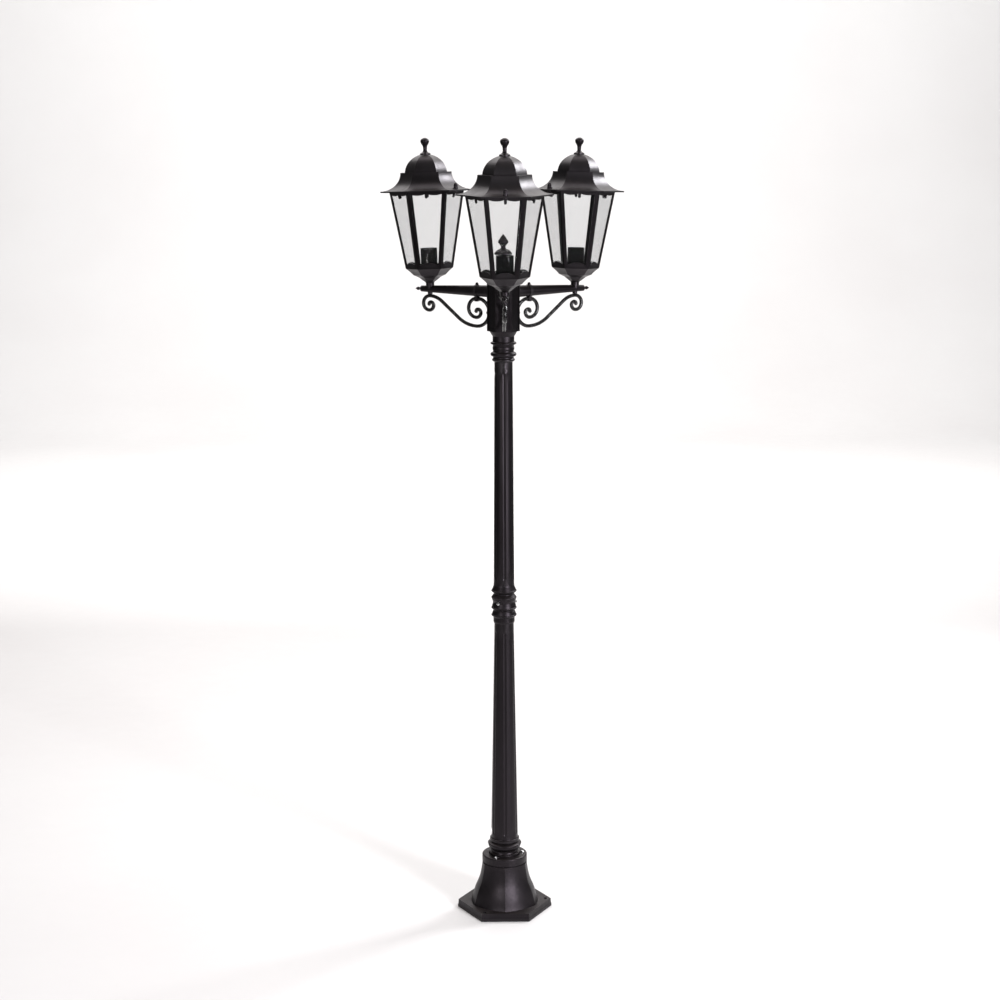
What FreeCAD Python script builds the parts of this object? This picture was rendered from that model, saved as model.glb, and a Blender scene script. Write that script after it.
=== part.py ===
import FreeCAD, Part
import math
import os
import Sketcher

# Triple head lamp post. Millimetres, +Z up, origin on the post's axis at the underside of the foot.
# The front arm points to -Y; the other two stand 120 degrees round from it.

Vector = FreeCAD.Vector

SIZES = {
    # Foot casting: hexagonal plate, six-sided bell and round ring
    "plate_corner": 142.5,
    "plate_height": 23.5,
    "plate_band": 8.0,
    "plate_draft": 2.5,
    "bell_foot": 101.0,
    "bell_waist": 67.0,
    "bell_swell": 0.66,
    "ring_radius": 67.6,
    "bell_top": 147.0,
    "ring_bottom": 149.5,
    "ring_groove": 64.5,
    "ring_top": 172.0,
    "ring_round": 4.0,
    "foot_wall": 5.0,
    "mouth_radius": 48.0,
    "mouth_depth": 10.0,
    "throat_radius": 41.5,
    "anchor_circle": 124.0,
    "anchor_hole": 5.5,
    "clamp_circle": 53.6,
    "clamp_shank": 3.0,
    "clamp_head": 5.6,
    "clamp_head_height": 4.5,
    "clamp_depth": 14.0,
    # Lower post
    "spigot_drop": 22.0,
    "flange_top": 179.0,
    "foot_neck": 40.5,
    "bowl_bead": 50.2,
    "bowl_height": 205.0,
    "lip_radius": 44.3,
    "lip_height": 220.0,
    "lower_start": 225.0,
    "lower_base": 40.3,
    "lower_tip": 28.6,
    "lower_end": 890.0,
    "tube_wall": 3.6,
    "flute_count": 6,
    "flute_round": 11.0,
    "flute_depth": 1.6,
    "flute_turn": 3.0,
    "lower_flute_low": 243.0,
    "lower_flute_high": 860.0,
    # Mid collar
    "joint_spigot": 26.0,
    "joint_bore": 22.4,
    "joint_depth": 66.0,
    "stub_depth": 36.0,
    "collar_bead": 37.5,
    "collar_groove": 31.4,
    "collar_neck": 33.0,
    "collar_step": 31.4,
    "bead_height": 9.0,
    "joint_screw": 3.0,
    "joint_screw_head": 4.6,
    # Upper post
    "upper_start": 1005.0,
    "upper_base": 30.6,
    "upper_tip": 26.4,
    "upper_end": 1666.0,
    "upper_flute_low": 1027.0,
    "upper_flute_high": 1630.0,
    # Hub
    "hub_corner": 47.4,
    "hub_bottom": 1754.0,
    "hub_top": 1895.0,
    "hub_wall": 6.0,
    "hub_floor": 8.0,
    "hub_cone_foot": 1739.5,
    "hub_collar": 31.4,
    "hub_neck": 30.0,
    "hub_lip": 34.0,
    "hub_spigot": 22.3,
    "hub_spigot_drop": 30.0,
    "hub_way": 16.0,
    "hub_tenon": 24.0,
    "panel_margin": 6.5,
    "panel_depth": 1.5,
    "pad_radius": 19.0,
    "scroll_pad": 7.0,
    "hub_screw_drop": 14.0,
    # Hub cap and its finial
    "cap_flange": 33.0,
    "cap_column": 20.0,
    "cap_column_foot": 1915.0,
    "cap_brim": 25.2,
    "cap_brim_height": 1974.0,
    "cap_dome_top": 1990.0,
    "cap_wall": 4.0,
    "acorn_radius": 14.6,
    "acorn_middle": 2008.0,
    "acorn_tip": 2032.0,
    # Arms
    "arm_axis": 1866.5,
    "arm_root": 17.8,
    "arm_tip": 9.0,
    "arm_overhang": 30.5,
    "arm_bore": 5.5,
    "arm_spigot": 10.0,
    "arm_nut": 13.0,
    "arm_nut_height": 5.0,
    "end_wall": 12.0,
    "end_pin": 3.0,
    "spear_radius": 5.3,
    "spear_length": 20.5,
    "head_reach": 245.0,
    "head_seat": 1876.5,
    "head_lean": 1.9,
    "boss_radius": 10.5,
    "lug_radius": 7.2,
    "ring_place": 87.0,
    "ring_width": 8.6,
    "ring_outer": 18.2,
    "ring_block": 15.6,
    "ring_drop": 30.5,
    "ring_screw": 2.5,
    "ring_screw_head": 4.5,
    "ring_screw_rise": 6.0,
    # Scroll: one round bar per arm
    "bar_radius": 5.3,
    "bow_radius": 40.2,
    "bow_middle": 1804.5,
    "sweep_angle": 39.0,
    "crest_bend": 65.0,
    "outer_curl": 22.0,
    "inner_curl": 28.5,
    "curl_end": 6.0,
    "scroll_screw": 2.5,
    "scroll_screw_head": 4.6,
    # Lantern, measured up from its seat on the arm; hexagon sizes are across from the axis to a face
    "neck_radius": 12.1,
    "neck_height": 10.5,
    "cup_knee": 26.7,
    "cup_knee_height": 23.5,
    "cup_fold": 41.4,
    "cup_fold_height": 31.0,
    "cup_rim": 59.4,
    "cup_rim_height": 50.0,
    "cup_wall": 3.4,
    "cup_floor": 21.0,
    "cage_foot": 60.1,
    "cage_head": 94.0,
    "cage_top": 272.0,
    "cage_wall": 3.0,
    "cage_shelf": 8.0,
    "cage_shelf_height": 5.0,
    "corner_flange": 9.0,
    "sill_height": 10.0,
    "sill_crest": 8.0,
    "rail_height": 7.0,
    "scallop_depth": 3.5,
    "drop_width": 8.4,
    "drop_length": 11.8,
    "glass_thick": 3.0,
    "glass_gap": 0.2,
    "glass_edge": 2.0,
    # Roof
    "eave": 116.5,
    "eave_rim": 4.0,
    "roof_wall": 2.5,
    "flare_radius": 52.0,
    "ledge_width": 11.5,
    "crown": 15.0,
    "crown_height": 377.0,
    "dome_bulge": 9.6,
    "stud_reach": 98.5,
    "stud_radius": 2.5,
    "stud_ear": 6.0,
    "stud_ear_height": 4.0,
    "stud_boss": 6.5,
    "stud_boss_top": 281.5,
    "nut_flats": 5.8,
    "nut_skirt": 7.0,
    "nut_height": 13.5,
    "knob_radius": 12.8,
    "knob_middle_rise": 38.5,
    "knob_top_rise": 48.5,
    "knob_neck": 5.8,
    "knob_neck_rise": 21.0,
    "knob_foot": 15.5,
    # Lamp holder
    "holder_radius": 24.5,
    "holder_foot": 53.0,
    "holder_top": 109.5,
    "holder_cone": 42.0,
    "holder_stem": 10.0,
    "thread_bore": 13.2,
    "thread_shell": 0.7,
    "thread_depth": 26.0,
    "nipple_radius": 4.9,
    "nipple_bore": 3.4,
    "nipple_low": -4.0,
    "nipple_high": 54.0,
    "nipple_nut": 9.0,
    "nipple_nut_height": 5.0,
    "lead_radius": 2.6,
    "lead_bend": 8.0,
    "lead_spread": 8.0,
    # Terminal block
    "block_radius": 19.0,
    "block_height": 34.0,
    # Fits
    "running_gap": 0.1,
    "slip_gap": 0.2,
}

HEADS = {"front": -90.0, "left": 150.0, "right": 30.0}
SCREW_ANGLES = (0.0, 120.0, 240.0)
COS30 = math.cos(math.radians(30))

doc = FreeCAD.newDocument("triple_head_lamp_post")
sheet = doc.addObject("Spreadsheet::Sheet", "Sizes")
for row, (alias, number) in enumerate(SIZES.items(), start=1):
    sheet.set("A%d" % row, alias)
    sheet.set("B%d" % row, str(number))
    sheet.setAlias("B%d" % row, alias)
doc.recompute()


class Size:
    """A length that carries its number and the formula in sheet cells behind it."""

    def __init__(self, value, formula):
        self.value = float(value)
        self.formula = formula

    def join(self, sign, other, value):
        return Size(value, "(%s %s %s)" % (self.formula, sign, formula_of(other)))

    def __add__(self, other):
        return self.join("+", other, self.value + value_of(other))

    def __sub__(self, other):
        return self.join("-", other, self.value - value_of(other))

    def __mul__(self, other):
        return self.join("*", other, self.value * value_of(other))

    def __truediv__(self, other):
        return self.join("/", other, self.value / value_of(other))

    def __neg__(self):
        return Size(-self.value, "(0 - %s)" % self.formula)


def value_of(size):
    return size.value if isinstance(size, Size) else float(size)


def formula_of(size):
    return size.formula if isinstance(size, Size) else "(%.6f)" % size


def cell(alias):
    """The size kept in the sheet under this alias."""
    return Size(sheet.get(alias), "Sizes." + alias)


def mm(alias):
    """The same size as a plain number, for shapes made in code."""
    return float(sheet.get(alias))


def bind(feature, prop, size):
    whole = feature.getTypeIdOfProperty(prop).startswith("App::PropertyInteger")
    setattr(feature, prop, int(value_of(size)) if whole else value_of(size))
    if isinstance(size, Size):
        feature.setExpression(prop, size.formula)


nodes = []


def keep(feature, label, placement=None):
    """Name a finished sub-part, put it in its place and list it for export."""
    feature.Label = label
    if placement is not None:
        feature.Placement = placement
    nodes.append(feature)
    return feature


# ------------------------------------------------------------------ sketches and turned bodies

def origin_feature(body, role):
    return [item for item in body.Origin.OriginFeatures if item.Role == role][0]


def outline_sketch(body, name, corners):
    """A closed outline on the XZ plane. A corner is (x, z), or (x, z, rise) where the edge that
    leaves it is an arc standing that far off its chord, to the left of the way it runs."""
    sketch = body.newObject("Sketcher::SketchObject", name)
    sketch.AttachmentSupport = [(origin_feature(body, "XZ_Plane"), "")]
    sketch.MapMode = "FlatFace"
    places = [Vector(value_of(corner[0]), value_of(corner[1]), 0) for corner in corners]
    count = len(corners)
    edges = []
    for index, corner in enumerate(corners):
        start = places[index]
        finish = places[(index + 1) % count]
        if len(corner) == 2:
            edges.append(Part.LineSegment(start, finish))
            continue
        run = finish - start
        left = Vector(-run.y, run.x, 0)
        left.normalize()
        edges.append(Part.Arc(start, (start + finish) * 0.5 + left * value_of(corner[2]), finish))
    sketch.addGeometry(edges, False)
    first = []
    for index in range(count):
        begins = sketch.getPoint(index, 1).distanceToPoint(places[index])
        ends = sketch.getPoint(index, 2).distanceToPoint(places[index])
        first.append(1 if begins < ends else 2)
    rules = []
    bound = []
    for index, corner in enumerate(corners):
        before = (index - 1) % count
        rules.append(Sketcher.Constraint("Coincident", before, 3 - first[before], index, first[index]))
    for index, corner in enumerate(corners):
        for axis, rule in ((0, "DistanceX"), (1, "DistanceY")):
            amount = value_of(corner[axis])
            if abs(amount) < 1e-9:
                line = -2 if axis == 0 else -1
                rules.append(Sketcher.Constraint("PointOnObject", index, first[index], line))
                continue
            rules.append(Sketcher.Constraint(rule, -1, 1, index, first[index], amount))
            if isinstance(corner[axis], Size):
                bound.append((len(rules) - 1, corner[axis].formula))
        if len(corner) == 3:
            after = corners[(index + 1) % count]
            across = sized(after[0]) - corner[0]
            along = sized(after[1]) - corner[1]
            rise = sized(corner[2])
            radius = (across * across + along * along) / (rise * 8) + rise / 2
            if radius.value < 0:
                radius = -radius
            rules.append(Sketcher.Constraint("Radius", index, radius.value))
            bound.append((len(rules) - 1, radius.formula))
    sketch.addConstraint(rules)
    for index, formula in bound:
        sketch.setExpression("Constraints[%d]" % index, formula)
    return sketch


def sized(size):
    return size if isinstance(size, Size) else Size(size, formula_of(size))


def revolve(body, name, corners, axis="V_Axis"):
    sketch = outline_sketch(body, name + "_outline", corners)
    turn = body.newObject("PartDesign::Revolution", name)
    turn.Profile = sketch
    turn.ReferenceAxis = (sketch, [axis])
    turn.Angle = 360
    sketch.Visibility = False
    return turn


def turned(label, corners, axis="V_Axis"):
    """A body turned about Z, or about X where the axis is H_Axis."""
    body = doc.addObject("PartDesign::Body", label)
    revolve(body, label + "_turning", corners, axis)
    return body


def shape_in(body, kind, name, sizes, placement):
    """Add or cut a primitive in a body: kind is such as AdditiveCylinder or SubtractiveBox."""
    feature = body.newObject("PartDesign::" + kind, name)
    for prop, size in sizes.items():
        bind(feature, prop, size)
    feature.Placement = placement
    body.Tip = feature
    return feature


def shapes_round(body, kind, name, sizes, placement, angles):
    """The same primitive at several angles round the body's Z axis."""
    for angle in angles:
        shape_in(body, kind, name, sizes, around(angle) * placement)


def at(x, y, z, axis=None, angle=0.0):
    """A placement from numbers or sizes."""
    rotation = FreeCAD.Rotation(axis or Vector(0, 0, 1), angle)
    return FreeCAD.Placement(Vector(value_of(x), value_of(y), value_of(z)), rotation)


def around(azimuth):
    return FreeCAD.Placement(Vector(0, 0, 0), FreeCAD.Rotation(Vector(0, 0, 1), azimuth))


OUTWARD = FreeCAD.Rotation(Vector(0, 1, 0), 90)


def radial(azimuth, radius, height):
    """A placement whose Z axis points outward at this azimuth."""
    return around(azimuth) * FreeCAD.Placement(Vector(radius, 0, height), OUTWARD)


def lantern_place(azimuth):
    """The frame of one lantern: Z up its own axis, which leans outward a little."""
    lean = FreeCAD.Rotation(Vector(0, 1, 0), mm("head_lean"))
    return around(azimuth) * FreeCAD.Placement(Vector(mm("head_reach"), 0, mm("head_seat")), lean)


# ------------------------------------------------------------------ loose solids for groups

def solid(kind, sizes, placement):
    feature = doc.addObject("Part::" + kind, kind)
    for prop, size in sizes.items():
        bind(feature, prop, size)
    feature.Placement = placement
    return feature


def fused(parts):
    feature = doc.addObject("Part::MultiFuse", "fused")
    feature.Shapes = parts
    return feature


def grouped(label, parts):
    feature = doc.addObject("Part::Compound", label)
    feature.Links = parts
    return keep(feature, label)


def screw(placement, shank, length, head, head_height):
    """A screw along the placement's Z axis, its head's underside at the placement's origin."""
    stem = solid("Cylinder", {"Radius": shank, "Height": length}, placement * at(0, 0, -value_of(length)))
    crown = head_height * 0.45
    seat = head_height - crown
    cap = solid("Cylinder", {"Radius": head, "Height": seat}, placement)
    dome = solid("Cone", {"Radius1": head, "Radius2": head * 0.55, "Height": crown},
                 placement * at(0, 0, value_of(seat)))
    return fused([stem, cap, dome])


# ------------------------------------------------------------------ shapes made in code

def hexagon(corner, height, turn=0.0):
    points = []
    for index in range(7):
        angle = math.radians(60 * index + turn)
        points.append(Vector(corner * math.cos(angle), corner * math.sin(angle), height))
    return Part.makePolygon(points)


def hexagon_stack(levels, turn=0.0):
    """A six-sided solid with flat faces through (height, corner radius) levels."""
    wires = [hexagon(corner, height, turn) for height, corner in levels]
    return Part.makeLoft(wires, True, True)


def face_stack(levels):
    """The same with a face towards +X, through (height, distance of the faces from the axis)."""
    return hexagon_stack([(height, face / COS30) for height, face in levels], 30)


def swollen_hexagon(middle, height, swell):
    """Six arcs round the axis. Swell 1 makes a circle of the middle radius, 0 a plain hexagon."""
    corner = middle * (swell + (1 - swell) / COS30)
    edges = []
    for index in range(6):
        ends = []
        for side in (-30, 30):
            angle = math.radians(60 * index + side)
            ends.append(Vector(corner * math.cos(angle), corner * math.sin(angle), height))
        angle = math.radians(60 * index)
        crest = Vector(middle * math.cos(angle), middle * math.sin(angle), height)
        edges.append(Part.Arc(ends[0], crest, ends[1]).toShape())
    return Part.Wire(edges)


def faceted(edges, reach):
    """A six-sided solid whose faces all follow one outline. The outline runs up from the axis's
    foot to its head, in (distance of a face from the axis, height), as edges in the XZ plane."""
    mirrored = [edge.mirror(Vector(0, 0, 0), Vector(1, 0, 0)) for edge in edges]
    wire = Part.Wire(Part.__sortEdges__(edges + mirrored))
    slab = Part.Face(wire).extrude(Vector(0, 2 * reach, 0))
    slab.translate(Vector(0, -reach, 0))
    result = slab
    for angle in (60, 120):
        other = slab.copy()
        other.rotate(Vector(0, 0, 0), Vector(0, 0, 1), angle)
        result = result.common(other)
    return result


def line(start, finish):
    return Part.LineSegment(Vector(start[0], 0, start[1]), Vector(finish[0], 0, finish[1])).toShape()


def arc(start, finish, rise):
    """An arc between two (x, z) points that stands off its chord by rise, to the left."""
    run_x = finish[0] - start[0]
    run_z = finish[1] - start[1]
    length = math.hypot(run_x, run_z)
    middle = ((start[0] + finish[0]) / 2 - run_z / length * rise,
              (start[1] + finish[1]) / 2 + run_x / length * rise)
    return Part.Arc(Vector(start[0], 0, start[1]), Vector(middle[0], 0, middle[1]),
                    Vector(finish[0], 0, finish[1])).toShape()


def upright(radius, low, high, x=0.0, y=0.0):
    return Part.makeCylinder(radius, high - low, Vector(x, y, low))


def coded(label, shape, placement=None):
    feature = doc.addObject("Part::Feature", label)
    feature.Shape = shape
    return keep(feature, label, placement)


class Pen:
    """Draws tangent arcs and lines in the XZ plane."""

    def __init__(self, x, z, heading):
        self.x = x
        self.z = z
        self.heading = heading
        self.edges = []

    def place(self):
        return (self.x, self.z)

    def forward(self, length):
        start = self.place()
        self.x += length * math.cos(math.radians(self.heading))
        self.z += length * math.sin(math.radians(self.heading))
        self.edges.append(line(start, self.place()))

    def turn(self, radius, angle):
        """Turn by this angle, anticlockwise where it is positive."""
        start = self.place()
        side = 1 if angle > 0 else -1
        from_centre = math.radians(self.heading - 90 * side)
        centre_x = self.x - radius * math.cos(from_centre)
        centre_z = self.z - radius * math.sin(from_centre)
        to_finish = from_centre + math.radians(angle)
        self.x = centre_x + radius * math.cos(to_finish)
        self.z = centre_z + radius * math.sin(to_finish)
        self.heading += angle
        rise = -side * radius * (1 - math.cos(math.radians(angle) / 2))
        self.edges.append(arc(start, self.place(), rise))


def rod(edges, start, direction, radius):
    """A round bar along joined edges that start at this (x, z) point."""
    ring = Part.makeCircle(radius, Vector(start[0], 0, start[1]), Vector(direction[0], 0, direction[1]))
    return Part.Wire(edges).makePipeShell([Part.Wire([ring])], True, False)


# ------------------------------------------------------------------ foot

def bell(inset):
    """The bell of the foot, or the hollow inside it where inset is the wall."""
    foot = mm("bell_foot") - inset
    waist = mm("bell_waist") - inset
    low = mm("plate_height")
    high = mm("bell_top")
    swell = mm("bell_swell")
    # Share of the height and share of the widening, from the waist down to the foot
    shape = ((0.0, 0.0), (0.15, 0.06), (0.35, 0.20), (0.5, 0.36), (0.65, 0.59), (0.8, 0.78), (1.0, 1.0))
    wires = []
    for down, out in shape:
        middle = waist + (foot - waist) * out
        wires.append(swollen_hexagon(middle, high - (high - low) * down, swell))
    return Part.makeLoft(wires, True, False)


def foot_casting():
    plate_top = mm("plate_height")
    corner = mm("plate_corner")
    step = 1.2
    plate = hexagon_stack([(0, corner), (mm("plate_band"), corner)])
    upper = hexagon_stack([(mm("plate_band"), corner - step), (plate_top, corner - mm("plate_draft"))])
    ring = upright(mm("ring_radius"), mm("ring_bottom"), mm("ring_top"))
    top_edges = [edge for edge in ring.Edges if abs(edge.CenterOfMass.z - mm("ring_top")) < 0.01]
    ring = ring.makeFillet(mm("ring_round"), top_edges)
    neck = upright(mm("ring_groove"), mm("bell_top") - 1, mm("ring_bottom") + 1)
    wall = mm("foot_wall")
    hollow = bell(wall).fuse(hexagon_stack([(-1, corner - 3 * wall), (plate_top - wall, corner - 3 * wall)]))
    rise = upright(mm("bell_foot") - wall, plate_top - wall - 0.5, plate_top + 0.5)
    hollow = hollow.fuse(rise)
    body = plate.fuse([upper, bell(0), neck, ring]).cut(hollow)
    seat = mm("ring_top") - mm("mouth_depth")
    body = body.cut(upright(mm("mouth_radius"), seat, mm("ring_top") + 1))
    body = body.cut(upright(mm("throat_radius") + mm("slip_gap"), plate_top, mm("ring_top")))
    for angle in SCREW_ANGLES:
        turn = math.radians(angle)
        x = math.cos(turn)
        y = math.sin(turn)
        reach = mm("anchor_circle")
        pillar = upright(2 * mm("anchor_hole"), 0, plate_top, reach * x, reach * y)
        body = body.fuse(pillar)
        body = body.cut(upright(mm("anchor_hole"), -1, plate_top + 1, reach * x, reach * y))
        reach = mm("clamp_circle")
        body = body.cut(upright(mm("clamp_shank"), mm("ring_top") - mm("clamp_depth"),
                                mm("ring_top") + 1, reach * x, reach * y))
    return coded("base_casting", body.removeSplitter())


foot_casting()

foot_screws = []
for angle in SCREW_ANGLES:
    place = around(angle) * at(cell("clamp_circle"), 0, cell("ring_top"))
    foot_screws.append(screw(place, cell("clamp_shank"), cell("clamp_depth") - 1,
                             cell("clamp_head"), cell("clamp_head_height")))
grouped("base_clamp_screws", foot_screws)


# ------------------------------------------------------------------ post sections

def cut_flutes(body, base_radius, tip_radius, base_height, tip_height, low, high):
    """Shallow round-ended flutes down a tapered tube."""
    taper = (tip_radius.value - base_radius.value) / (tip_height.value - base_height.value)
    round_size = cell("flute_round")
    offset = round_size.value - mm("flute_depth")
    foot = Vector(base_radius.value + taper * (low.value - base_height.value) + offset, 0, low.value)
    head = Vector(base_radius.value + taper * (high.value - base_height.value) + offset, 0, high.value)
    tilt = FreeCAD.Rotation(Vector(0, 0, 1), head - foot)
    count = int(mm("flute_count"))
    angles = [mm("flute_turn") - 90 + 360 / count * index for index in range(count)]
    channel = {"Radius": round_size, "Height": (head - foot).Length}
    shapes_round(body, "SubtractiveCylinder", "flute", channel, FreeCAD.Placement(foot, tilt), angles)
    for end, place in (("foot", foot), ("head", head)):
        shapes_round(body, "SubtractiveSphere", "flute_" + end, {"Radius": round_size},
                     FreeCAD.Placement(place, FreeCAD.Rotation()), angles)


def lower_post():
    mouth = cell("ring_top") - cell("mouth_depth")
    throat = cell("throat_radius")
    flange = cell("mouth_radius") - 1.2
    top = cell("ring_top")
    bowl = cell("bowl_height")
    wall = cell("tube_wall")
    lip = cell("lip_height")
    start = cell("lower_start")
    body = turned("lower_post", [
        (throat - wall - 1, mouth - cell("spigot_drop")),
        (throat, mouth - cell("spigot_drop")),
        (throat, mouth),
        (flange, mouth),
        (flange, cell("flange_top") - 2, -0.8),
        (flange - 2, cell("flange_top")),
        (cell("foot_neck") + 1, cell("flange_top") + 0.6),
        (cell("foot_neck"), cell("flange_top") + 3),
        (cell("foot_neck"), bowl - 19),
        (cell("foot_neck") + 2, bowl - 16, -2.0),
        (cell("bowl_bead") - 1, bowl - 3, -1.6),
        (cell("bowl_bead") - 1, bowl + 2),
        (cell("lip_radius") - 2.3, bowl + 5),
        (cell("lip_radius") - 2, lip - 8),
        (cell("lip_radius"), lip - 5),
        (cell("lip_radius") - 0.3, lip + 2, 1.2),
        (cell("lower_base"), start),
        (cell("lower_tip"), cell("lower_end")),
        (cell("joint_spigot"), cell("lower_end")),
        (cell("joint_spigot"), cell("lower_end") + cell("stub_depth")),
        (cell("joint_bore"), cell("lower_end") + cell("stub_depth")),
        (cell("joint_bore"), cell("lower_end") - 6),
        (cell("lower_base") - wall, start),
    ])
    cut_flutes(body, cell("lower_base"), cell("lower_tip"), start, cell("lower_end"),
               cell("lower_flute_low"), cell("lower_flute_high"))
    return keep(body, "lower_post")


def mid_collar():
    low = cell("lower_end")
    high = cell("upper_start")
    bead = cell("collar_bead")
    groove = cell("collar_groove")
    half = cell("bead_height") / 2
    inner = cell("joint_spigot") + cell("running_gap")
    body = turned("mid_collar", [
        (inner, low),
        (cell("lower_tip") + 1.4, low),
        (cell("collar_step"), low + 5),
        (cell("collar_step"), low + 14),
        (groove, low + 17),
        (groove + 2.6, low + 20.5),
        (bead - 1.4, low + 22, -1.4),
        (bead - 1.4, low + 22 + half),
        (groove + 1.4, low + 35.5, 1.6),
        (groove + 1.4, low + 40.5),
        (bead - 1.4, low + 44, -1.4),
        (bead - 1.4, low + 44 + half),
        (cell("collar_neck") + 1.4, low + 56, 1.8),
        (cell("collar_neck") + 2.2, low + 70),
        (bead - 1.4, low + 75, -1.4),
        (bead - 1.4, low + 75 + half),
        (groove, low + 86, 1.2),
        (groove, low + 91),
        (bead - 1.4, low + 95, -1.4),
        (bead - 1.4, low + 95 + half),
        (cell("upper_base") + 0.6, high - 4),
        (cell("upper_base"), high),
        (inner, high),
    ])
    shapes_round(body, "SubtractiveCylinder", "screw_hole", {"Radius": cell("joint_screw"), "Height": 20.0},
                 radial(0, mm("joint_spigot") - 2, mid_screw_height().value), SCREW_ANGLES)
    return keep(body, "mid_collar")


def mid_screw_height():
    return cell("lower_end") + 63


def upper_post():
    start = cell("upper_start")
    end = cell("upper_end")
    wall = cell("tube_wall")
    body = turned("upper_post", [
        (cell("joint_bore"), start - cell("joint_depth")),
        (cell("joint_spigot"), start - cell("joint_depth")),
        (cell("joint_spigot"), start),
        (cell("upper_base"), start),
        (cell("upper_tip"), end),
        (cell("hub_spigot") + cell("running_gap"), end),
        (cell("hub_spigot") + cell("running_gap"), end - 40),
        (cell("upper_base") - wall - 0.6, start + 10),
        (cell("joint_bore"), start + 5),
    ])
    cut_flutes(body, cell("upper_base"), cell("upper_tip"), start, end,
               cell("upper_flute_low"), cell("upper_flute_high"))
    shapes_round(body, "SubtractiveCylinder", "screw_hole", {"Radius": cell("joint_screw"), "Height": 12.0},
                 radial(0, mm("hub_spigot") - 1, hub_screw_height().value), HEADS.values())
    shapes_round(body, "SubtractiveCylinder", "mid_dent", {"Radius": cell("joint_screw"), "Height": 4.0},
                 radial(0, mm("joint_spigot") - 1.5, mid_screw_height().value), SCREW_ANGLES)
    return keep(body, "upper_post")


def hub_screw_height():
    return cell("upper_end") - cell("hub_screw_drop")


lower_post()
mid_collar()
upper_post()

joint_screws = []
for angle in SCREW_ANGLES:
    place = radial(angle, mm("collar_neck") + 1.9, mid_screw_height().value)
    shank = cell("joint_screw")
    joint_screws.append(screw(place, shank, 10.2, cell("joint_screw_head"), shank))
grouped("mid_collar_screws", joint_screws)

hub_screws = []
for angle in HEADS.values():
    place = radial(angle, mm("hub_spigot"), hub_screw_height().value)
    grub = solid("Cylinder", {"Radius": cell("joint_screw"), "Height": 3.6}, place)
    hub_screws.append(grub)
grouped("hub_set_screws", hub_screws)


# ------------------------------------------------------------------ hub

def top_collar():
    """Turned collar between the upper post and the hub, with a spigot into each."""
    floor = cell("hub_bottom") + cell("hub_floor")
    foot = cell("hub_cone_foot")
    end = cell("upper_end")
    neck = cell("hub_neck")
    way = cell("hub_way")
    body = turned("top_collar", [
        (way, end - cell("hub_spigot_drop")),
        (cell("hub_spigot"), end - cell("hub_spigot_drop")),
        (cell("hub_spigot"), end),
        (cell("upper_tip") + 2, end),
        (neck + 1, end + 2),
        (cell("hub_lip") - 1, end + 4),
        (cell("hub_lip") - 1, end + 7, 1.0),
        (neck, end + 13),
        (neck + 1.5, end + 15),
        (cell("collar_bead") - 1.8, end + 17, -1.8),
        (cell("collar_bead") - 1.8, end + 26),
        (neck, end + 29),
        (neck, end + 32, -1.6),
        (neck, end + 45),
        (neck + 1.5, end + 49),
        (cell("collar_bead") - 1, end + 51, -1.0),
        (cell("collar_bead") - 1, end + 56),
        (cell("hub_collar"), end + 58),
        (cell("hub_collar"), foot),
        (cell("hub_tenon"), foot),
        (cell("hub_tenon"), floor),
        (way, floor),
    ])
    return keep(body, "top_collar")


def hub_casting():
    corner = cell("hub_corner")
    low = cell("hub_bottom")
    high = cell("hub_top")
    foot = cell("hub_cone_foot")
    body = doc.addObject("PartDesign::Body", "hub_casting")
    shape_in(body, "AdditivePrism", "hub_prism", {"Circumradius": corner, "Height": high - low},
             at(0, 0, low))
    shape_in(body, "AdditiveCone", "hub_cone",
             {"Radius1": cell("hub_collar"), "Radius2": corner * COS30 - 0.3, "Height": low - foot + 0.5},
             at(0, 0, foot))
    inner = corner - cell("hub_wall") / COS30
    shape_in(body, "SubtractivePrism", "hub_hollow",
             {"Circumradius": inner, "Height": high - low - cell("hub_floor") * 2},
             at(0, 0, low + cell("hub_floor")))
    shape_in(body, "SubtractiveCylinder", "tenon_hole",
             {"Radius": cell("hub_tenon") + cell("running_gap"),
              "Height": low - foot + cell("hub_floor") + 4},
             at(0, 0, foot - 2))
    shape_in(body, "SubtractiveCylinder", "cap_hole",
             {"Radius": cell("hub_way"), "Height": cell("hub_floor") + 4},
             at(0, 0, high - cell("hub_floor") - 2))
    face = corner * COS30
    side = corner - cell("panel_margin") * 2
    tall = high - low - cell("panel_margin") * 2
    shapes_round(body, "SubtractiveBox", "panel", {"Length": 5.0, "Width": side, "Height": tall},
                 at(face - cell("panel_depth"), side / -2, low + cell("panel_margin")),
                 [30 + 60 * index for index in range(6)])
    pad_depth = cell("panel_depth") + 0.5
    base = (face - pad_depth).value
    pads = (("arm_pad", "pad_radius", "arm_axis"), ("scroll_pad", "scroll_pad", "bow_middle"))
    for name, radius, height in pads:
        shapes_round(body, "AdditiveCylinder", name, {"Radius": cell(radius), "Height": pad_depth},
                     radial(0, base, mm(height)), HEADS.values())
    arm_hole = {"Radius": cell("arm_spigot") + cell("running_gap"), "Height": 20.0}
    shapes_round(body, "SubtractiveCylinder", "arm_hole", arm_hole,
                 radial(0, base - 12, mm("arm_axis")), HEADS.values())
    shapes_round(body, "SubtractiveCylinder", "scroll_hole", {"Radius": cell("scroll_screw"), "Height": 8.0},
                 radial(0, face.value - 5, mm("bow_middle")), HEADS.values())
    return keep(body, "hub_casting")


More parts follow.
